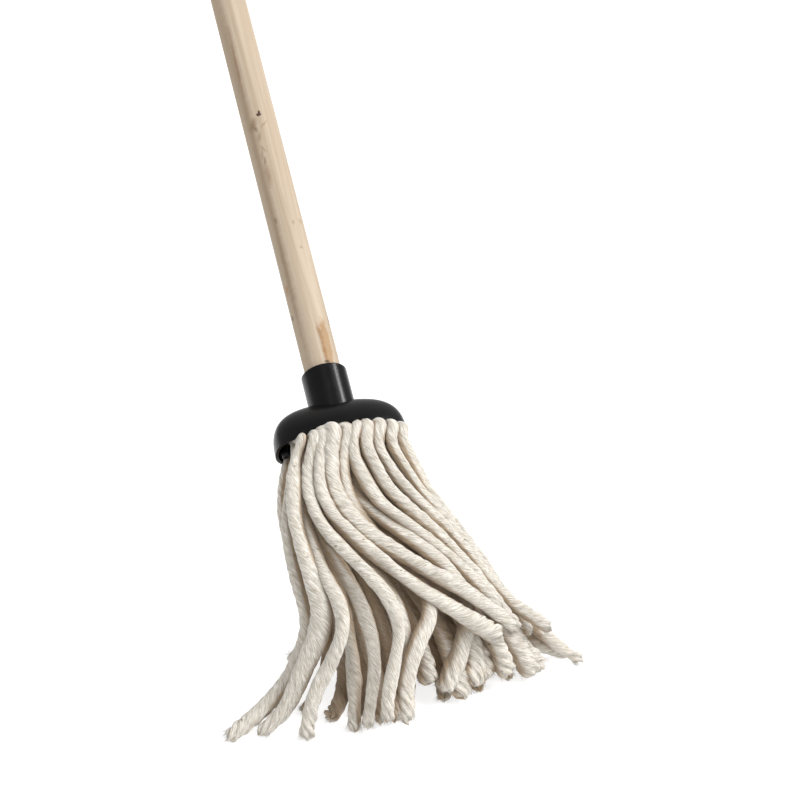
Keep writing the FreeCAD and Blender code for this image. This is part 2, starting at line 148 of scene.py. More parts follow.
# One row per string, from the left: place along the mouth, layer in the socket, front route, back route.
STRINGS = [
    (-0.0297, "middle",
     [(-0.028, -0.026, 0.150), (-0.029, -0.045, 0.138), (-0.028, -0.060, 0.122),
      (-0.022, -0.074, 0.106), (-0.015, -0.088, 0.090), (-0.010, -0.097, 0.076),
      (-0.013, -0.102, 0.060), (-0.021, -0.106, 0.044), (-0.027, -0.109, 0.029),
      (-0.035, -0.111, 0.014), (-0.047, -0.113, 0.004)],
     [(-0.037, -0.009, 0.122), (-0.036, -0.019, 0.105), (-0.031, -0.026, 0.086),
      (-0.026, -0.033, 0.066), (-0.022, -0.036, 0.046), (-0.021, -0.028, 0.024),
      (-0.025, -0.012, 0.007), (-0.033, 0.006, 0.004)]),
    (-0.0297, "low",
     [(-0.029, -0.025, 0.135), (-0.034, -0.042, 0.120), (-0.031, -0.057, 0.099),
      (-0.025, -0.070, 0.080), (-0.020, -0.081, 0.063), (-0.024, -0.087, 0.046),
      (-0.033, -0.096, 0.028), (-0.049, -0.108, 0.014), (-0.067, -0.119, 0.003)],
     [(-0.030, -0.010, 0.124), (-0.028, -0.023, 0.102), (-0.025, -0.037, 0.079),
      (-0.020, -0.046, 0.056), (-0.019, -0.051, 0.030), (-0.025, -0.058, 0.009),
      (-0.037, -0.074, 0.003)]),
    (-0.0240, "middle",
     [(-0.019, -0.029, 0.151), (-0.020, -0.048, 0.135), (-0.012, -0.065, 0.120), (0.003, -0.079, 0.109),
      (0.018, -0.091, 0.098), (0.031, -0.101, 0.086), (0.037, -0.109, 0.070), (0.034, -0.114, 0.052),
      (0.030, -0.116, 0.033), (0.029, -0.117, 0.015)],
     [(-0.024, 0.003, 0.122), (-0.025, -0.008, 0.101), (-0.022, -0.017, 0.078), (-0.016, -0.022, 0.052),
      (-0.014, -0.016, 0.024), (-0.020, 0.002, 0.005), (-0.025, 0.026, 0.003)]),
    (-0.0240, "low",
     [(-0.021, -0.028, 0.138), (-0.022, -0.048, 0.122), (-0.016, -0.068, 0.107),
      (-0.008, -0.087, 0.094), (0.001, -0.101, 0.083), (0.003, -0.111, 0.069), (-0.004, -0.115, 0.052),
      (-0.013, -0.116, 0.035), (-0.018, -0.116, 0.019), (-0.020, -0.117, 0.003)],
     [(-0.022, -0.008, 0.123), (-0.022, -0.019, 0.098), (-0.018, -0.030, 0.076),
      (-0.011, -0.038, 0.050), (-0.008, -0.044, 0.024), (-0.014, -0.060, 0.005),
      (-0.022, -0.080, 0.003)]),
    (-0.0183, "top",
     [(-0.012, -0.030, 0.154), (-0.013, -0.048, 0.138), (-0.004, -0.060, 0.123), (0.012, -0.068, 0.110),
      (0.031, -0.071, 0.095), (0.048, -0.070, 0.081), (0.065, -0.067, 0.069), (0.081, -0.062, 0.056),
      (0.097, -0.057, 0.044)],
     [(-0.017, 0.007, 0.118), (-0.018, -0.003, 0.097), (-0.015, -0.011, 0.074), (-0.010, -0.014, 0.048),
      (-0.008, -0.006, 0.020), (-0.013, 0.014, 0.003), (-0.021, 0.038, 0.003)]),
    (-0.0183, "middle",
     [(-0.014, -0.028, 0.140), (-0.016, -0.047, 0.123), (-0.009, -0.063, 0.108), (0.003, -0.078, 0.094),
      (0.013, -0.089, 0.078), (0.020, -0.097, 0.060), (0.022, -0.102, 0.041), (0.019, -0.106, 0.023),
      (0.017, -0.109, 0.006)],
     [(-0.015, -0.001, 0.115), (-0.015, -0.012, 0.094), (-0.011, -0.022, 0.071),
      (-0.005, -0.028, 0.045), (-0.004, -0.025, 0.018), (-0.005, -0.008, 0.003),
      (-0.005, 0.013, 0.003)]),
    (-0.0183, "low",
     [(-0.014, -0.024, 0.135), (-0.012, -0.042, 0.114), (-0.007, -0.058, 0.092), (0.002, -0.072, 0.068),
      (0.008, -0.084, 0.042), (0.009, -0.094, 0.019), (0.009, -0.106, 0.003)],
     [(-0.014, -0.007, 0.123), (-0.012, -0.020, 0.097), (-0.007, -0.034, 0.070), (0.000, -0.043, 0.044),
      (0.003, -0.050, 0.018), (0.000, -0.068, 0.003), (-0.006, -0.090, 0.003)]),
    (-0.0126, "top",
     [(-0.006, -0.028, 0.155), (-0.005, -0.043, 0.138), (0.004, -0.054, 0.124), (0.019, -0.062, 0.112),
      (0.038, -0.064, 0.100), (0.057, -0.063, 0.088), (0.076, -0.060, 0.076), (0.092, -0.055, 0.062),
      (0.107, -0.050, 0.047)],
     [(-0.010, 0.008, 0.118), (-0.010, -0.002, 0.097), (-0.007, -0.009, 0.073), (-0.001, -0.011, 0.047),
      (0.002, -0.002, 0.020), (0.001, 0.020, 0.003), (-0.006, 0.046, 0.003)]),
    (-0.0126, "middle",
     [(-0.007, -0.026, 0.142), (-0.007, -0.042, 0.122), (0.002, -0.054, 0.108), (0.017, -0.061, 0.094),
      (0.031, -0.069, 0.078), (0.039, -0.076, 0.060), (0.042, -0.080, 0.040), (0.040, -0.084, 0.020),
      (0.041, -0.086, 0.003)],
     [(-0.008, 0.000, 0.114), (-0.007, -0.011, 0.093), (-0.003, -0.020, 0.069), (0.004, -0.025, 0.043),
      (0.007, -0.022, 0.017), (0.007, -0.004, 0.003), (0.009, 0.018, 0.003)]),
    (-0.0126, "low",
     [(-0.007, -0.023, 0.135), (-0.005, -0.038, 0.117), (0.000, -0.052, 0.096), (0.008, -0.063, 0.072),
      (0.016, -0.073, 0.046), (0.026, -0.086, 0.018), (0.025, -0.098, 0.004)],
     [(-0.007, -0.006, 0.124), (-0.004, -0.019, 0.097), (0.002, -0.031, 0.070), (0.010, -0.039, 0.044),
      (0.014, -0.046, 0.018), (0.013, -0.064, 0.003), (0.010, -0.084, 0.003)]),
    (-0.0069, "top",
     [(0.002, -0.026, 0.155), (0.002, -0.037, 0.141), (0.008, -0.047, 0.124), (0.023, -0.050, 0.107),
      (0.040, -0.055, 0.091), (0.053, -0.061, 0.076), (0.056, -0.072, 0.063), (0.048, -0.084, 0.052),
      (0.042, -0.095, 0.038), (0.040, -0.102, 0.024), (0.042, -0.106, 0.009)],
     [(-0.002, 0.010, 0.118), (-0.002, 0.000, 0.097), (0.002, -0.007, 0.073), (0.009, -0.008, 0.047),
      (0.014, 0.001, 0.020), (0.017, 0.024, 0.003), (0.014, 0.052, 0.003)]),
    (-0.0069, "middle",
     [(0.001, -0.024, 0.142), (0.007, -0.037, 0.130), (0.024, -0.047, 0.119), (0.043, -0.056, 0.108),
      (0.061, -0.057, 0.094), (0.076, -0.052, 0.075), (0.080, -0.051, 0.056), (0.076, -0.056, 0.038),
      (0.070, -0.062, 0.024), (0.064, -0.066, 0.011)],
     [(-0.001, 0.002, 0.115), (0.001, -0.009, 0.094), (0.006, -0.017, 0.070), (0.015, -0.021, 0.044),
      (0.020, -0.017, 0.017), (0.022, 0.002, 0.003), (0.027, 0.024, 0.003)]),
    (-0.0069, "low",
     [(-0.001, -0.021, 0.136), (0.002, -0.034, 0.118), (0.008, -0.046, 0.097), (0.018, -0.057, 0.074),
      (0.028, -0.066, 0.048), (0.034, -0.075, 0.022), (0.034, -0.092, 0.003)],
     [(0.000, -0.004, 0.125), (0.004, -0.016, 0.098), (0.011, -0.027, 0.071), (0.020, -0.034, 0.045),
      (0.026, -0.040, 0.019), (0.028, -0.058, 0.003), (0.026, -0.078, 0.003)]),
    (0.0069, "top",
     [(0.006, -0.026, 0.156), (0.014, -0.037, 0.141), (0.024, -0.046, 0.128), (0.039, -0.051, 0.118),
      (0.055, -0.051, 0.104), (0.071, -0.048, 0.090), (0.085, -0.044, 0.073), (0.098, -0.043, 0.056)],
     [(0.005, 0.012, 0.119), (0.007, 0.003, 0.098), (0.013, -0.003, 0.074), (0.022, -0.004, 0.048),
      (0.029, 0.006, 0.021), (0.034, 0.028, 0.003), (0.034, 0.056, 0.003)]),
    (0.0069, "middle",
     [(0.006, -0.023, 0.145), (0.012, -0.033, 0.129), (0.023, -0.041, 0.114), (0.041, -0.051, 0.097),
      (0.059, -0.050, 0.078), (0.073, -0.045, 0.056), (0.084, -0.049, 0.034), (0.083, -0.057, 0.013)],
     [(0.006, 0.004, 0.116), (0.010, -0.006, 0.095), (0.017, -0.013, 0.071), (0.028, -0.016, 0.045),
      (0.035, -0.011, 0.018), (0.039, 0.008, 0.003), (0.045, 0.030, 0.003)]),
    (0.0069, "low",
     [(0.006, -0.019, 0.139), (0.008, -0.032, 0.120), (0.015, -0.043, 0.100), (0.031, -0.052, 0.077),
      (0.044, -0.058, 0.052), (0.052, -0.062, 0.034), (0.054, -0.063, 0.016)],
     [(0.007, -0.002, 0.126), (0.012, -0.013, 0.100), (0.021, -0.022, 0.073), (0.032, -0.028, 0.047),
      (0.040, -0.034, 0.021), (0.043, -0.050, 0.003), (0.041, -0.072, 0.003)]),
    (0.0126, "top",
     [(0.015, -0.024, 0.158), (0.022, -0.033, 0.146), (0.029, -0.039, 0.135), (0.041, -0.043, 0.124),
      (0.056, -0.045, 0.111), (0.070, -0.043, 0.095), (0.084, -0.039, 0.077), (0.097, -0.035, 0.058),
      (0.110, -0.031, 0.038)],
     [(0.013, 0.014, 0.120), (0.017, 0.006, 0.099), (0.025, 0.000, 0.076), (0.037, 0.000, 0.050),
      (0.046, 0.010, 0.023), (0.052, 0.030, 0.003), (0.056, 0.058, 0.003)]),
    (0.0126, "middle",
     [(0.013, -0.022, 0.146), (0.020, -0.034, 0.131), (0.029, -0.041, 0.115), (0.049, -0.045, 0.096),
      (0.069, -0.046, 0.072), (0.087, -0.044, 0.048), (0.099, -0.043, 0.030), (0.104, -0.041, 0.012)],
     [(0.013, 0.006, 0.117), (0.019, -0.003, 0.097), (0.029, -0.009, 0.073), (0.042, -0.011, 0.047),
      (0.051, -0.005, 0.020), (0.057, 0.012, 0.003), (0.064, 0.034, 0.003)]),
    (0.0126, "low",
     [(0.013, -0.018, 0.140), (0.014, -0.029, 0.121), (0.024, -0.038, 0.102), (0.039, -0.045, 0.080),
      (0.056, -0.048, 0.055), (0.070, -0.052, 0.030), (0.076, -0.062, 0.006)],
     [(0.014, 0.000, 0.127), (0.021, -0.010, 0.102), (0.033, -0.017, 0.076), (0.046, -0.022, 0.050),
      (0.059, -0.027, 0.024), (0.063, -0.042, 0.006), (0.064, -0.060, 0.003)]),
    (0.0183, "top",
     [(0.022, -0.020, 0.158), (0.030, -0.028, 0.145), (0.039, -0.034, 0.134), (0.052, -0.037, 0.122),
      (0.065, -0.036, 0.107), (0.079, -0.033, 0.090), (0.091, -0.029, 0.071), (0.105, -0.026, 0.054),
      (0.118, -0.024, 0.045), (0.131, -0.023, 0.035)],
     [(0.020, 0.016, 0.121), (0.022, 0.008, 0.101), (0.033, 0.004, 0.078), (0.049, 0.005, 0.052),
      (0.062, 0.014, 0.025), (0.071, 0.032, 0.003), (0.078, 0.058, 0.003)]),
    (0.0183, "middle",
     [(0.021, -0.019, 0.147), (0.026, -0.029, 0.133), (0.040, -0.034, 0.116), (0.058, -0.036, 0.095),
      (0.076, -0.034, 0.070), (0.096, -0.028, 0.046), (0.110, -0.026, 0.022), (0.120, -0.028, 0.007)],
     [(0.020, 0.008, 0.119), (0.024, 0.001, 0.099), (0.036, -0.004, 0.076), (0.054, -0.005, 0.050),
      (0.067, 0.001, 0.022), (0.075, 0.014, 0.003), (0.084, 0.034, 0.003)]),
    (0.0183, "low",
     [(0.020, -0.017, 0.139), (0.021, -0.025, 0.122), (0.036, -0.031, 0.103), (0.053, -0.035, 0.082),
      (0.069, -0.036, 0.058), (0.085, -0.038, 0.034), (0.090, -0.046, 0.010)],
     [(0.021, 0.002, 0.128), (0.025, -0.006, 0.103), (0.040, -0.012, 0.078), (0.060, -0.015, 0.054),
      (0.074, -0.020, 0.030), (0.081, -0.030, 0.009), (0.086, -0.046, 0.003)]),
    (0.0240, "middle",
     [(0.030, -0.017, 0.158), (0.040, -0.024, 0.142), (0.049, -0.028, 0.130), (0.059, -0.030, 0.119),
      (0.070, -0.029, 0.104), (0.082, -0.026, 0.087), (0.093, -0.022, 0.068), (0.105, -0.018, 0.048),
      (0.118, -0.015, 0.029)],
     [(0.028, 0.012, 0.121), (0.034, 0.006, 0.101), (0.048, 0.002, 0.078), (0.065, 0.004, 0.052),
      (0.083, 0.012, 0.024), (0.092, 0.028, 0.003), (0.100, 0.050, 0.003)]),
    (0.0240, "low",
     [(0.030, -0.015, 0.147), (0.036, -0.023, 0.131), (0.049, -0.026, 0.113), (0.066, -0.026, 0.091),
      (0.084, -0.023, 0.066), (0.100, -0.020, 0.043), (0.115, -0.021, 0.020), (0.126, -0.017, 0.006)],
     [(0.028, 0.005, 0.129), (0.034, -0.002, 0.104), (0.050, -0.007, 0.080), (0.066, -0.008, 0.054),
      (0.084, -0.006, 0.028), (0.094, -0.012, 0.008), (0.106, -0.026, 0.003)]),
    (0.0297, "middle",
     [(0.037, -0.012, 0.158), (0.046, -0.018, 0.141), (0.054, -0.020, 0.126), (0.062, -0.021, 0.115),
      (0.073, -0.019, 0.100), (0.085, -0.016, 0.082), (0.097, -0.012, 0.062), (0.111, -0.008, 0.042),
      (0.130, -0.004, 0.021), (0.152, 0.000, 0.003)],
     [(0.035, 0.012, 0.124), (0.042, 0.007, 0.104), (0.058, 0.004, 0.080), (0.076, 0.006, 0.054),
      (0.096, 0.012, 0.026), (0.109, 0.024, 0.003), (0.122, 0.042, 0.003)]),
    (0.0297, "low",
     [(0.037, -0.009, 0.146), (0.043, -0.016, 0.129), (0.053, -0.017, 0.109), (0.070, -0.015, 0.084),
      (0.087, -0.010, 0.058), (0.111, -0.004, 0.034), (0.126, 0.002, 0.012), (0.144, 0.012, 0.003)],
     [(0.035, 0.005, 0.131), (0.042, -0.001, 0.108), (0.060, -0.004, 0.082), (0.077, -0.004, 0.056),
      (0.097, -0.001, 0.030), (0.112, 0.006, 0.008), (0.126, 0.018, 0.003)]),
]

# Where the front row bends over the rim, by string: u and v.
KNUCKLES = {1: (-0.0276, 0.0203), 3: (-0.0195, 0.0224), 5: (-0.0137, 0.0234), 8: (-0.0073, 0.0240),
            11: (0.0011, 0.0240), 14: (0.0070, 0.0240), 17: (0.0140, 0.0234), 20: (0.0220, 0.0220),
            23: (0.0304, 0.0191), 25: (0.0370, 0.0147)}

# A half's thickness: share of its length, radius there.
PLAIN = [(0.0, 0.0026), (0.09, 0.0029), (0.15, 0.0039), (0.45, 0.0040), (0.8, 0.0043), (1.0, 0.0045)]
FAT = [(0.0, 0.0026), (0.09, 0.0030), (0.16, 0.0050), (0.45, 0.0056), (0.7, 0.0050), (1.0, 0.0046)]
SWOLLEN = [(0.0, 0.0026), (0.09, 0.0029), (0.16, 0.0038), (0.42, 0.0043), (0.66, 0.0064), (1.0, 0.0046)]
OPEN_END = [(0.0, 0.0026), (0.09, 0.0029), (0.15, 0.0039), (0.75, 0.0045), (0.93, 0.0067), (1.0, 0.0068)]
SPECIAL = {(8, 1): FAT, (1, 1): SWOLLEN}
SPECIAL.update({(number, 1): OPEN_END for number in (5, 12, 15, 16, 18, 19, 21, 22, 24)})
# Back halves kept apart from the others; the string loop below does nothing different with them.
# Back halves that aren't declared as cords, because the frame takes 40 cords at most.
UNDECLARED = {(number, -1) for number in (2, 4, 6, 7, 9, 10, 13, 16, 19, 22, 24, 26)}

# Stains, knots and flecks on the stick: height up it, angle round it with -90 in front, length,
# width, lean, softness of the edge, strength, colour.
WOOD_MARKS = [
    (0.2100, -133, 0.3600, 0.0075, 0.0, 0.95, 0.36, (124, 102, 78)),
    (0.2950, -128, 0.0700, 0.0030, 0.03, 0.9, 0.50, (123, 92, 66)),
    (0.1180, -140, 0.1000, 0.0040, 0.01, 0.9, 0.30, (123, 103, 80)),
    (0.2485, -97, 0.0028, 0.0040, 0.0, 0.35, 0.95, (64, 41, 33)),
    (0.2502, -94, 0.0034, 0.0020, 0.0, 0.5, 0.9, (69, 46, 36)),
    (0.2420, -122, 0.0110, 0.0064, 0.3, 0.95, 0.52, (108, 80, 54)),
    (0.2375, -117, 0.0056, 0.0032, -0.2, 0.85, 0.50, (86, 68, 46)),
    (0.2400, -90, 0.0070, 0.0026, 0.9, 0.9, 0.50, (123, 100, 74)),
    (0.2310, -113, 0.0100, 0.0040, 0.2, 0.95, 0.45, (110, 92, 62)),
    (0.2215, -110, 0.0080, 0.0018, -0.5, 0.9, 0.40, (112, 88, 62)),
    (0.2180, -117, 0.0090, 0.0018, 0.2, 0.9, 0.35, (112, 88, 62)),
    (0.2115, -115, 0.0080, 0.0024, 0.15, 0.85, 0.50, (92, 72, 48)),
    (0.2000, -115, 0.0200, 0.0050, 0.05, 0.95, 0.50, (123, 95, 71)),
    (0.1655, -130, 0.0055, 0.0028, 0.0, 0.8, 0.50, (102, 84, 64)),
    (0.1610, -74, 0.0040, 0.0020, 0.0, 0.8, 0.45, (115, 95, 72)),
    (0.1630, -44, 0.0050, 0.0042, 0.0, 0.9, 0.40, (131, 108, 84)),
    (0.1415, -68, 0.0034, 0.0028, 0.0, 0.8, 0.45, (115, 95, 72)),
    (0.1145, -156, 0.0100, 0.0036, 0.0, 0.9, 0.65, (156, 113, 72)),
    (0.0940, -166, 0.0046, 0.0036, 0.0, 0.6, 0.65, (87, 79, 71)),
    (0.0670, -66, 0.0440, 0.0074, 0.05, 0.5, 0.80, (152, 120, 82)),
    (0.0760, -80, 0.0150, 0.0034, -0.10, 0.8, 0.75, (134, 100, 64)),
    (0.0630, -80, 0.0200, 0.0028, -0.02, 0.8, 0.75, (138, 100, 61)),
    (0.0800, -66, 0.0130, 0.0056, 0.2, 0.9, 0.45, (146, 112, 72)),
    (0.0905, -20, 0.0180, 0.0020, 0.24, 0.5, 0.80, (113, 85, 57)),
    (0.0543, -80, 0.0030, 0.0040, 0.0, 0.6, 0.85, (69, 43, 25)),
]


# ---- node helpers ------------------------------------------------------------------------------
class Shader:
    """A material's node tree with short calls for the nodes used here."""

    def __init__(self, name):
        self.material = bpy.data.materials.new(name)
        self.material.use_nodes = True
        self.tree = self.material.node_tree
        self.surface = self.tree.nodes["Principled BSDF"]

    def node(self, kind, **settings):
        """A new node with the given properties."""
        made = self.tree.nodes.new(kind)
        for key, value in settings.items():
            setattr(made, key, value)
        return made

    def feed(self, socket, value):
        """Link a socket or set a plain value."""
        if isinstance(value, bpy.types.NodeSocket):
            self.tree.links.new(value, socket)
        else:
            socket.default_value = value

    def math(self, operation, *values):
        """One arithmetic step on sockets or numbers."""
        made = self.node("ShaderNodeMath", operation=operation)
        for socket, value in zip(made.inputs, values):
            self.feed(socket, value)
        return made.outputs[0]

    def noise(self, vector, scale, detail=3.0, rough=0.5, distortion=0.0):
        """Cloudy values around one half."""
        made = self.node("ShaderNodeTexNoise")
        self.feed(made.inputs["Vector"], vector)
        made.inputs["Scale"].default_value = scale
        made.inputs["Detail"].default_value = detail
        made.inputs["Roughness"].default_value = rough
        made.inputs["Distortion"].default_value = distortion
        return made.outputs["Fac"]

    def stretch(self, vector, scale):
        """The place scaled by a different number each way."""
        made = self.node("ShaderNodeMapping")
        self.feed(made.inputs["Vector"], vector)
        made.inputs["Scale"].default_value = scale
        return made.outputs[0]

    def ramp(self, value, low, high, to_low=0.0, to_high=1.0):
        """A soft step from to_low at low to to_high at high."""
        made = self.node("ShaderNodeMapRange", interpolation_type="SMOOTHSTEP")
        for socket, item in zip(made.inputs, (value, low, high, to_low, to_high)):
            self.feed(socket, item)
        return made.outputs[0]

    def mix(self, factor, first, second):
        """The first colour at factor 0, the second at 1."""
        made = self.node("ShaderNodeMix", data_type="RGBA")
        self.feed(made.inputs[0], factor)
        self.feed(made.inputs[6], first)
        self.feed(made.inputs[7], second)
        return made.outputs[2]

    def bump(self, height, strength, distance):
        """A normal bent by a height."""
        made = self.node("ShaderNodeBump")
        made.inputs["Strength"].default_value = strength
        made.inputs["Distance"].default_value = distance
        self.feed(made.inputs["Height"], height)
        return made.outputs[0]


def rgb(red, green, blue):
    """A colour given as it is seen, 0 to 255, for a socket."""
    seen = [channel / 255 for channel in (red, green, blue)]
    return tuple(c / 12.92 if c < 0.04045 else ((c + 0.055) / 1.055) ** 2.4 for c in seen) + (1,)


# ---- the socket's own directions ---------------------------------------------------------------
def socket_axes():
    """The directions u, v and w of the leaning, slightly rolled socket."""
    w = Vector((-math.sin(LEAN) * math.sin(SWING), math.sin(LEAN) * math.cos(SWING),
                math.cos(LEAN)))
    level = Vector((math.cos(SWING), math.sin(SWING), 0))
    upward = level.cross(w)
    if upward.z < 0:
        upward = -upward
    u = level * math.cos(ROLL) + upward * math.sin(ROLL)
    v = u.cross(w)
    if v.z < 0:
        v = -v
    return u, v, w


U_AXIS, V_AXIS, W_AXIS = socket_axes()


def at(u, v, w):
    """The place in the scene of socket coordinates."""
    return MOUTH + U_AXIS * u + V_AXIS * v + W_AXIS * w


def axis_empty(name, body):
    """An empty in line with the handle, for textures: x across, y to the back, z up the stick."""
    empty = bpy.data.objects.new(name, None)
    bpy.context.scene.collection.objects.link(empty)
    turn = Matrix((U_AXIS, -V_AXIS, W_AXIS)).transposed().to_4x4()
    empty.matrix_world = Matrix.Translation(MOUTH) @ turn
    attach(empty, body)
    return empty


# ---- yarns -------------------------------------------------------------------------------------
def spline_line(points):
    """The smooth line of a route: a NURBS spline with the route's points as control points."""
    curve = bpy.data.curves.new("route", "CURVE")
    curve.dimensions = "3D"
    spline = curve.splines.new("NURBS")
    spline.points.add(len(points) - 1)
    for place, point in zip(spline.points, points):
        place.co = (*point, 1.0)
    spline.order_u = 3
    spline.use_endpoint_u = True
    spline.resolution_u = 16
    holder = bpy.data.objects.new("route", curve)
    bpy.context.scene.collection.objects.link(holder)
    mesh = bpy.data.meshes.new_from_object(holder)
    line = np.array([vertex.co for vertex in mesh.vertices])
    bpy.data.objects.remove(holder)
    bpy.data.meshes.remove(mesh)
    bpy.data.curves.remove(curve)
    return line


def even(line, step):
    """The same line with evenly spaced points; also the distance along it."""
    runs = np.linalg.norm(np.diff(line, axis=0), axis=1)
    along = np.concatenate([[0.0], np.cumsum(runs)])
    count = max(8, int(along[-1] / step))
    places = np.linspace(0.0, along[-1], count)
    return np.stack([np.interp(places, along, line[:, k]) for k in range(3)], 1), places


def frames(line):
    """Tangents and two directions across the line that don't twist."""
    tangent = np.gradient(line, axis=0)
    tangent /= np.linalg.norm(tangent, axis=1)[:, None]
    across = np.zeros_like(line)
    first = np.cross(tangent[0], ANY_WAY)
    across[0] = first / np.linalg.norm(first)
    for k in range(1, len(line)):
        side = across[k - 1] - tangent[k] * np.dot(across[k - 1], tangent[k])
        across[k] = side / np.linalg.norm(side)
    return tangent, across, np.cross(tangent, across)


def wander(rng, places, wave, size):
    """Smooth random values along a line."""
    knots = np.arange(places[0] - wave, places[-1] + 2 * wave, wave)
    values = rng.normal(0.0, size, len(knots))
    fine = np.interp(places, knots, values)
    width = max(3, int(wave / (places[1] - places[0])) | 1)
    padded = np.pad(fine, width // 2, mode="edge")
    return np.convolve(padded, np.ones(width) / width, mode="valid")


def yarn_surface(line, places, radii, rng):
    """Points of a soft left-laid yarn of several plies, rounded and opened at its tip.

    Also returns how far round the plies each point is, and the directions along the line.
    """
    tangent, across, third = frames(line)
    angle = np.linspace(0.0, 2 * math.pi, ROUND, endpoint=False)
    lay = LAY * rng.uniform(*LAY_SPREAD)
    start = rng.uniform(0.0, 2 * math.pi)
    drift = wander(rng, places, *DRIFT_WAVE)
    turn = start - 2 * math.pi * places / lay + drift
    share = (angle[None, :] - turn[:, None]) / (2 * math.pi)
    share = share - np.floor(share)
    ply = share * PLIES
    index = np.floor(ply).astype(int) % PLIES
    inside = np.abs(ply - np.floor(ply) - 0.5) * 2
    crown = 1 - inside ** 2
    swell = np.stack([wander(rng, places, *SWELL_WAVE) for _ in range(PLIES)], 1)
    loose = np.clip((places - places[-1] + LOOSE_END) / LOOSE_END, 0.0, 1.0)[:, None]
    lobes = 1.0 + np.take_along_axis(swell, index, axis=1) * crown * (1 + LOOSE_SWELL * loose)
    groove = np.clip(GROOVE + wander(rng, places, *GROOVE_WAVE), *GROOVE_RANGE)[:, None]
    lobes -= (groove + LOOSE_GROOVE * loose) * inside ** GROOVE_SHARPNESS
    flat_way = wander(rng, places, *SQUASH_WAVE)[:, None]
    lobes += SQUASH * np.cos(2 * (angle[None, :] - flat_way))
    ridges = np.zeros_like(share)
    for cells, size in RIDGES:
        phase = wander(rng, places, *RIDGE_WAVE)[:, None]
        ridges += size * np.sin(2 * math.pi * share * cells + phase)
    lobes += ridges
    radius = radii[:, None] * lobes
    left = np.clip((places[-1] - places) / TIP_ROUND, 0.0, 1.0)
    radius *= np.sqrt(np.clip(1 - (1 - left) ** 2, 0.0, 1.0))[:, None]
    reach = rng.uniform(*TIP_REACH, PLIES)
    stick_out = loose ** TIP_SHARPNESS * crown * reach[index]
    points = (line[:, None, :] + tangent[:, None, :] * stick_out[:, :, None]
              + across[:, None, :] * (radius * np.cos(angle))[:, :, None]
              + third[:, None, :] * (radius * np.sin(angle))[:, :, None])
    return points.reshape(-1, 3), share, (tangent, across, third)


def ring_faces(count):
    """The quads between one ring and the next."""
    row = np.arange(count - 1)[:, None] * ROUND
    col = np.arange(ROUND)[None, :]
    after = (col + 1) % ROUND
    return np.stack([row + col, row + after, row + ROUND + after, row + ROUND + col],
                    -1).reshape(-1, 4)


def fibres(roots, ways, lengths, width, rng):
    """Fine loose fibres: narrow ribbons that start at roots and curl away along ways."""
    count = len(roots)
    ways = ways / np.linalg.norm(ways, axis=1)[:, None]
    side = np.cross(ways, rng.normal(size=(count, 3)))
    side /= np.linalg.norm(side, axis=1)[:, None]
    curl = rng.normal(size=(count, 3))
    curl -= ways * np.sum(curl * ways, axis=1)[:, None]
    curl /= np.linalg.norm(curl, axis=1)[:, None]
    share = np.linspace(0.0, 1.0, FIBRE_PARTS + 1)
    bend = rng.uniform(*FIBRE_BEND, count)
    middle = (roots[:, None, :] + ways[:, None, :] * (lengths[:, None] * share)[:, :, None]
              + curl[:, None, :] * ((lengths * bend)[:, None] * share ** 2)[:, :, None])
    half = width * (1 - FIBRE_TAPER * share)[None, :, None] * side[:, None, :]
    points = np.stack([middle - half, middle + half], 2).reshape(-1, 3)
    first = np.arange(count) * FIBRE_POINTS
    base = first[:, None] + (np.arange(FIBRE_PARTS) * 2)[None, :]
    faces = np.stack([base, base + 1, base + 3, base + 2], -1).reshape(-1, 4)
    return points, faces


def fuzz_fibres(line, length, radii, axes, rng):
    """Fibres all along a yarn, and the ring that each one starts at."""
    tangent, across, third = axes
    count = int(length * FUZZ_PER_METRE)
    pick = rng.integers(int(len(line) * FUZZ_START), len(line) - 4, count)
    theta = rng.uniform(0, 2 * math.pi, count)
    out = (across[pick] * np.cos(theta)[:, None] + third[pick] * np.sin(theta)[:, None])
    around = np.cross(tangent[pick], out)
    roots = line[pick] + out * (radii[pick] * FUZZ_DEPTH)[:, None]
    ways = (tangent[pick] * rng.normal(*FUZZ_ALONG, count)[:, None] + out * FUZZ_OUT
            + around * rng.normal(*FUZZ_ROUND, count)[:, None])
    points, faces = fibres(roots, ways, rng.uniform(*FUZZ_LENGTH, count), FUZZ_WIDTH, rng)
    return points, faces, pick


def tip_fibres(tip, radius, axes, rng):
    """A brush of fibres at a yarn's cut end."""
    tangent, across, third = (directions[-1] for directions in axes)
    theta = rng.uniform(0, 2 * math.pi, TIP_FIBRES)
    reach = np.sqrt(rng.uniform(0, 1, TIP_FIBRES))
    out = across * np.cos(theta)[:, None] + third * np.sin(theta)[:, None]
    roots = tip - tangent * TIP_DEPTH + out * (reach * radius * TIP_FILL)[:, None]
    ways = (tangent + out * (reach * TIP_SPREAD)[:, None]
            + rng.normal(0, TIP_TANGLE, (TIP_FIBRES, 3)))
    return fibres(roots, ways, rng.uniform(*TIP_LENGTH, TIP_FIBRES), TIP_WIDTH, rng)


def hold(points, centres, limit):
    """Pull points back to within limit of their centres."""
    apart = points.reshape(len(centres), -1, 3) - centres[:, None, :]
    size = np.linalg.norm(apart, axis=2, keepdims=True)
    apart *= np.minimum(1.0, limit / np.maximum(size, 1e-9))
    return (centres[:, None, :] + apart).reshape(-1, 3)


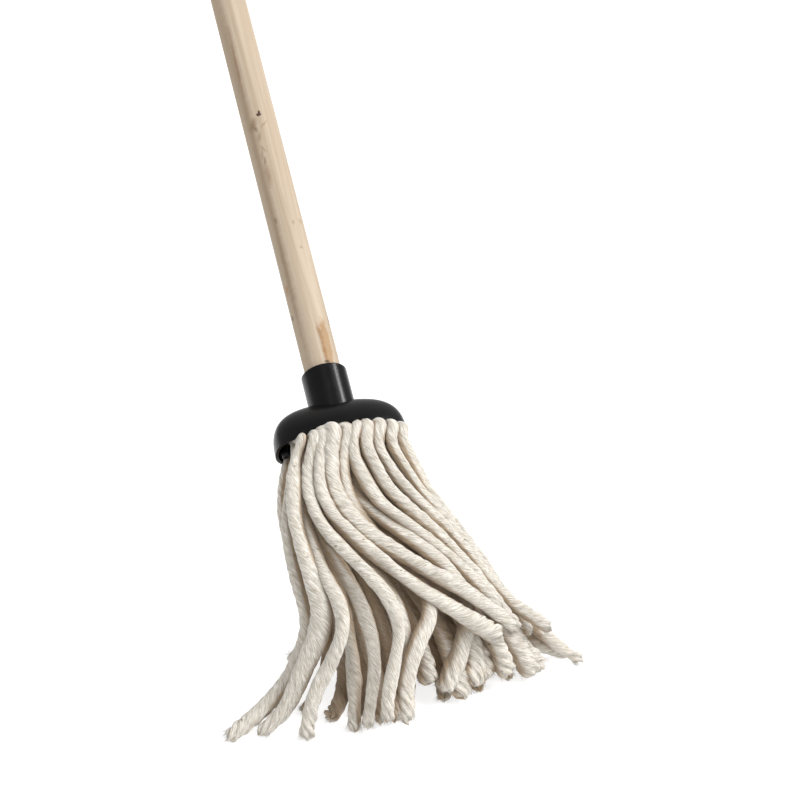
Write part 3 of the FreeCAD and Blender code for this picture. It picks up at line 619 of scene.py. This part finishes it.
def crowding(line, radii, neighbours):
    """How far neighbouring yarns close in on each ring, 0 open to 1 buried, round the ring; this sets
    the painted shade.
    """
    tangent, across, third = frames(line)
    checked = max(2, len(line) // CROWD_EVERY)
    picked = np.unique(np.linspace(0, len(line) - 1, checked).astype(int))
    sides = np.arange(CROWD_SIDES) * 2 * math.pi / CROWD_SIDES
    out = (across[picked][:, None, :] * np.cos(sides)[None, :, None]
           + third[picked][:, None, :] * np.sin(sides)[None, :, None])
    skin = line[picked][:, None, :] + out * radii[picked][:, None, None]
    away = neighbours[None, None, :, :] - skin[:, :, None, :]
    apart = np.linalg.norm(away, axis=3)
    facing = np.einsum("rsnk,rsk->rsn", away, out) / np.maximum(apart, 1e-6)
    sphere = math.pi * np.maximum(apart, CROWD_NEAR) ** 2
    cover = np.clip(facing, 0.0, 1.0) * CROWD_AREA / sphere
    closed = np.clip(cover.sum(axis=2), 0.0, 1.0)
    spread = np.stack([np.interp(np.arange(len(line)), picked, closed[:, k])
                       for k in range(CROWD_SIDES)], 1)
    looped = np.concatenate([spread, spread[:, :1]], 1)
    angle = np.linspace(0.0, CROWD_SIDES, ROUND, endpoint=False)
    low = np.floor(angle).astype(int)
    part = angle - low
    return looped[:, low] * (1 - part) + looped[:, low + 1] * part


def unroll(mesh, ply_share, places, shift, rng):
    """Texture places in metres: x round the yarn, starting at one ply, and y along it."""
    on_rings = ply_share.size
    table = np.zeros((len(mesh.vertices), 2))
    table[:on_rings, 0] = (ply_share * 2 * math.pi * YARN_RADIUS).reshape(-1)
    table[:on_rings, 1] = np.repeat(places, ROUND)
    table[on_rings:] = rng.uniform(0.0, FIBRE_PATCH, (len(table) - on_rings, 2))
    flat = np.zeros(len(mesh.loops), int)
    mesh.loops.foreach_get("vertex_index", flat)
    mesh.uv_layers.new(name="lay").data.foreach_set("uv", (table[flat] + shift).reshape(-1))


def yarn(name, line, thickness, neighbours, seed):
    """One half of a string as a mesh along its line."""
    rng = np.random.default_rng(seed)
    line, places = even(line, STEP)
    share = places / places[-1]
    radii = np.interp(share, *zip(*thickness)) * (1 + wander(rng, places, *THICKNESS_WAVE))
    limit = HOLD_SHARE * max(radius for _, radius in thickness) + HOLD_EXTRA
    rings, ply_share, axes = yarn_surface(line, places, radii, rng)
    rings = hold(rings, line, limit)
    fuzz, fuzz_faces, pick = fuzz_fibres(line, places[-1], radii, axes, rng)
    fuzz = hold(fuzz, line[pick], limit)
    brush, brush_faces = tip_fibres(line[-1], radii[-1], axes, rng)
    brush = hold(brush, np.repeat(line[-1:], TIP_FIBRES, 0), limit)
    points = np.concatenate([rings, fuzz, brush])
    points[:, 2] = np.maximum(points[:, 2], FLOOR_GAP)
    faces = np.concatenate([ring_faces(len(line)), fuzz_faces + len(rings),
                            brush_faces + len(rings) + len(fuzz)])
    mesh = bpy.data.meshes.new(name)
    mesh.from_pydata(points.tolist(), [], faces.tolist())
    mesh.polygons.foreach_set("use_smooth", np.ones(len(faces), bool))
    unroll(mesh, ply_share, places, seed * TEXTURE_SHIFT, rng)
    # painted shade: how far neighbours close in on the rings; each fuzz fibre takes its ring's mean, the
    # tip's fibres a share
    closed = crowding(line, radii, neighbours)
    painted_shade = np.concatenate([closed.reshape(-1), np.repeat(closed.mean(axis=1)[pick], FIBRE_POINTS),
                           np.full(len(brush), closed[-3:].mean() * TIP_PAINTED_SHADE)])
    mesh.attributes.new("painted_shade", "FLOAT", "POINT").data.foreach_set("value", painted_shade)
    piece = bpy.data.objects.new(name, mesh)
    bpy.context.scene.collection.objects.link(piece)
    mesh.materials.append(COTTON)
    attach(piece, "mop_head")
    return piece


# ---- materials ---------------------------------------------------------------------------------
def cotton():
    """Raw cotton: cream, streaked along the lay, with seed specks, and painted brown shade where
    neighbouring yarns close in.
    """
    shader = Shader("cotton")
    lay = shader.node("ShaderNodeUVMap", uv_map="lay").outputs[0]
    streak = shader.noise(shader.stretch(lay, (2400.0, 190.0, 1.0)), 1.0, 5.0, 0.65, 0.4)
    blotch = shader.noise(shader.stretch(lay, (160.0, 60.0, 1.0)), 1.0, 3.0)
    # painted shade: how far neighbouring yarns close in, stored on each yarn's mesh
    painted_shade = shader.node("ShaderNodeAttribute", attribute_name="painted_shade").outputs["Fac"]
    bright = shader.mix(shader.ramp(streak, 0.36, 0.62), rgb(158, 150, 135), rgb(223, 218, 210))
    patchy = shader.mix(shader.math("MULTIPLY", shader.ramp(blotch, 0.5, 0.75), 0.4),
                        bright, rgb(186, 178, 161))
    # painted shade: the cream turns brown where neighbouring yarns close in
    with_painted_shade = shader.mix(shader.ramp(painted_shade, 0.48, 1.0, 0.0, 0.75), patchy, rgb(146, 119, 84))
    cells = shader.node("ShaderNodeTexVoronoi", feature="F1")
    shader.feed(cells.inputs["Vector"], shader.stretch(lay, (230.0, 230.0, 1.0)))
    cells.inputs["Scale"].default_value = 1.0
    chance = shader.node("ShaderNodeSeparateColor")
    shader.feed(chance.inputs[0], cells.outputs["Color"])
    near = shader.ramp(cells.outputs["Distance"], 0.10, 0.20, 1.0, 0.0)
    speck = shader.math("MULTIPLY", near, shader.math("GREATER_THAN", chance.outputs[0], 0.88))
    shader.feed(shader.surface.inputs["Base Color"],
                shader.mix(shader.math("MULTIPLY", speck, 0.75), with_painted_shade, rgb(92, 74, 56)))
    shader.surface.inputs["Roughness"].default_value = 0.92
    shader.surface.inputs["Specular IOR Level"].default_value = 0.25
    shader.surface.inputs["Sheen Weight"].default_value = 0.25
    shader.surface.inputs["Sheen Roughness"].default_value = 0.5
    shader.surface.inputs["Subsurface Weight"].default_value = 0.25
    shader.surface.inputs["Subsurface Radius"].default_value = (0.0020, 0.0015, 0.0011)
    shader.surface.inputs["Subsurface Scale"].default_value = 1.0
    shader.feed(shader.surface.inputs["Normal"], shader.bump(streak, 0.8, 0.0006))
    return shader.material


def black_plastic(axis):
    """Moulded black plastic: satin, with a very fine texture."""
    shader = Shader("black_plastic")
    place = shader.node("ShaderNodeTexCoord", object=axis).outputs["Object"]
    grain = shader.noise(place, 2600.0, 2.0)
    cloud = shader.noise(place, 60.0, 3.0)
    shader.feed(shader.surface.inputs["Base Color"],
                shader.mix(shader.ramp(cloud, 0.35, 0.75), rgb(2, 2, 3), rgb(6, 6, 7)))
    shader.feed(shader.surface.inputs["Roughness"], shader.ramp(cloud, 0.3, 0.8, 0.22, 0.29))
    shader.surface.inputs["Specular IOR Level"].default_value = 0.24
    shader.feed(shader.surface.inputs["Normal"], shader.bump(grain, 0.08, 0.0002))
    return shader.material


def dark_steel():
    """Blackened steel of the clamp screws."""
    shader = Shader("screw_steel")
    shader.surface.inputs["Base Color"].default_value = rgb(30, 30, 32)
    shader.surface.inputs["Metallic"].default_value = 0.6
    shader.surface.inputs["Roughness"].default_value = 0.4
    return shader.material


def wood(axis):
    """Raw turned softwood with its grain along the stick, and the marks in WOOD_MARKS."""
    shader = Shader("wood")
    place = shader.node("ShaderNodeTexCoord", object=axis).outputs["Object"]
    grain = shader.noise(shader.stretch(place, (260.0, 260.0, 7.0)), 1.0, 5.0, 0.6, 0.6)
    fine = shader.noise(shader.stretch(place, (1500.0, 1500.0, 26.0)), 1.0, 3.0, 0.6)
    bands = shader.noise(shader.stretch(place, (75.0, 75.0, 1.6)), 1.0, 3.0, 0.5, 0.8)
    base = shader.mix(shader.ramp(bands, 0.35, 0.68), rgb(164, 147, 126), rgb(183, 168, 149))
    base = shader.mix(shader.math("MULTIPLY", shader.ramp(grain, 0.46, 0.66), 0.45),
                      base, rgb(153, 134, 110))
    base = shader.mix(shader.math("MULTIPLY", shader.ramp(fine, 0.5, 0.72), 0.25),
                      base, rgb(148, 128, 104))
    split = shader.node("ShaderNodeSeparateXYZ")
    shader.feed(split.inputs[0], place)
    theta = shader.math("ARCTAN2", split.outputs[1], split.outputs[0])
    round_place = shader.math("MULTIPLY", theta, STICK_RADIUS)
    wobble = shader.math("SUBTRACT", shader.noise(place, 260.0, 2.0), 0.5)
    for height, angle, length, width, lean, edge, strength, colour in WOOD_MARKS:
        rise = shader.math("SUBTRACT", split.outputs[2], height)
        across = shader.math("SUBTRACT", round_place, math.radians(angle) * STICK_RADIUS)
        across = shader.math("SUBTRACT", across, shader.math("MULTIPLY", rise, lean))
        along = shader.math("DIVIDE", rise, length / 2)
        aside = shader.math("DIVIDE", across, width / 2)
        far = shader.math("SQRT", shader.math("ADD", shader.math("POWER", along, 2.0),
                                              shader.math("POWER", aside, 2.0)))
        far = shader.math("ADD", far, shader.math("MULTIPLY", wobble, 0.8))
        mask = shader.ramp(far, 1.0 - edge, 1.0 + edge * 0.3, strength, 0.0)
        base = shader.mix(mask, base, rgb(*colour))
    shader.feed(shader.surface.inputs["Base Color"], base)
    shader.surface.inputs["Roughness"].default_value = 0.62
    shader.surface.inputs["Specular IOR Level"].default_value = 0.3
    height = shader.math("ADD", shader.math("MULTIPLY", grain, 0.6), fine)
    shader.feed(shader.surface.inputs["Normal"], shader.bump(height, 0.25, 0.0003))
    return shader.material


def paint(node, material):
    """Give a CAD node a material; its mesh stays as it is."""
    piece = frame["nodes"][node]
    for holder in piece.material_slots:
        holder.material = material


head_axis = axis_empty("head_axis", "mop_head")
handle_axis = axis_empty("handle_axis", "handle")
COTTON = cotton()
plastic = black_plastic(head_axis)
paint("socket", plastic)
paint("clamp_bar", plastic)
paint("handle", wood(handle_axis))
steel = dark_steel()
for screw in ("centre", "left", "right"):
    paint("clamp_screw_" + screw, steel)


# ---- strings -----------------------------------------------------------------------------------
def half_points(place, layer, side, route):
    """A half's control points: the fold's middle, its corner, the mouth, then the route."""
    corner_v = FOLD_V[layer][abs(place)]
    rim_u = place
    rim_v = RIM_V[layer]
    if side < 0 and (place, layer) == STRINGS[0][:2]:
        rim_u, rim_v = END_RIM_BACK
    inner = [at(place, 0.0, FOLD_W[layer]), at(place, side * corner_v, FOLD_W[layer]),
             at(rim_u, side * rim_v, RIM_W[layer])]
    return inner + [Vector(point) for point in route]


def over_rim(points, knuckle):
    """Add the control point that takes the spline over the rim's front edge.

    Near a control point the spline is 3/4 of it and 1/8 of each neighbour.
    """
    u, v = knuckle
    top = at(u, v + RIM_OUT, RIM_UP)
    return points[:3] + [(top - (points[2] + points[3]) * 0.125) / 0.75] + points[3:]


lines = {}
for number, (place, layer, front, back) in enumerate(STRINGS, 1):
    for side, route in ((1, front), (-1, back)):
        points = half_points(place, layer, side, route)
        if side > 0 and number in KNUCKLES:
            points = over_rim(points, KNUCKLES[number])
        lines[number, side] = spline_line(points), points[2]
crowd = {key: even(line, CROWD_STEP)[0] for key, (line, _) in lines.items()}
for (number, side), (line, rim) in lines.items():
    node = "string_%02d" % number
    part = "front" if side > 0 else "back"
    thickness = SPECIAL.get((number, side), PLAIN)
    others = np.concatenate([points for key, points in crowd.items() if key != (number, side)])
    piece = yarn("yarn_%02d_%s" % (number, part), line, thickness, others,
                 number * 2 + (side < 0))
    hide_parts(node)
    if (number, side) in UNDECLARED:
        continue


# ---- floor, light, camera ----------------------------------------------------------------------
def floor():
    """A white floor that glows, so that shadows on it stay faint."""
    bpy.ops.mesh.primitive_plane_add(size=FLOOR_SIZE)
    plane = bpy.context.object
    plane.name = "floor"
    shader = Shader("floor")
    shader.surface.inputs["Base Color"].default_value = (FLOOR_GREY, FLOOR_GREY, FLOOR_GREY, 1)
    shader.surface.inputs["Emission Color"].default_value = (1, 1, 1, 1)
    shader.surface.inputs["Emission Strength"].default_value = FLOOR_GLOW
    shader.surface.inputs["Roughness"].default_value = 0.9
    shader.surface.inputs["Specular IOR Level"].default_value = 0.1
    plane.data.materials.append(shader.material)


def sun(name, azimuth, elevation, strength, spread):
    """Soft light from that direction; azimuth 0 is the camera's side, 90 is the right."""
    light = bpy.data.lights.new(name, "SUN")
    light.energy = strength
    light.angle = math.radians(spread)
    lamp = bpy.data.objects.new(name, light)
    bpy.context.scene.collection.objects.link(lamp)
    az = math.radians(azimuth)
    el = math.radians(elevation)
    towards = Vector((math.sin(az) * math.cos(el), -math.cos(az) * math.cos(el), math.sin(el)))
    lamp.rotation_euler = towards.to_track_quat("Z", "Y").to_euler()
    lamp.location = towards * 3


def world(strength):
    """Even white light from all round."""
    made = bpy.data.worlds.new("studio")
    made.use_nodes = True
    background = made.node_tree.nodes["Background"]
    background.inputs["Color"].default_value = (1, 1, 1, 1)
    background.inputs["Strength"].default_value = strength
    bpy.context.scene.world = made


def camera():
    """A long lens in front of the mop, looking down a little."""
    lens = bpy.data.cameras.new("camera")
    lens.lens = CAMERA_LENS
    lens.sensor_width = CAMERA_SENSOR
    lens.sensor_fit = "HORIZONTAL"
    eye = bpy.data.objects.new("camera", lens)
    eye.location = CAMERA_PLACE
    eye.rotation_euler = (math.radians(90 - CAMERA_DOWN_DEG), 0, 0)
    bpy.context.scene.collection.objects.link(eye)
    bpy.context.scene.camera = eye


floor()
world(SKY)
sun("key", 66.0, 48.0, 1.9, 26.0)
sun("side", 98.0, 46.0, 1.3, 13.0)
sun("front", 0.0, 46.0, 1.0, 50.0)
camera()
bpy.context.scene.view_settings.view_transform = "Standard"
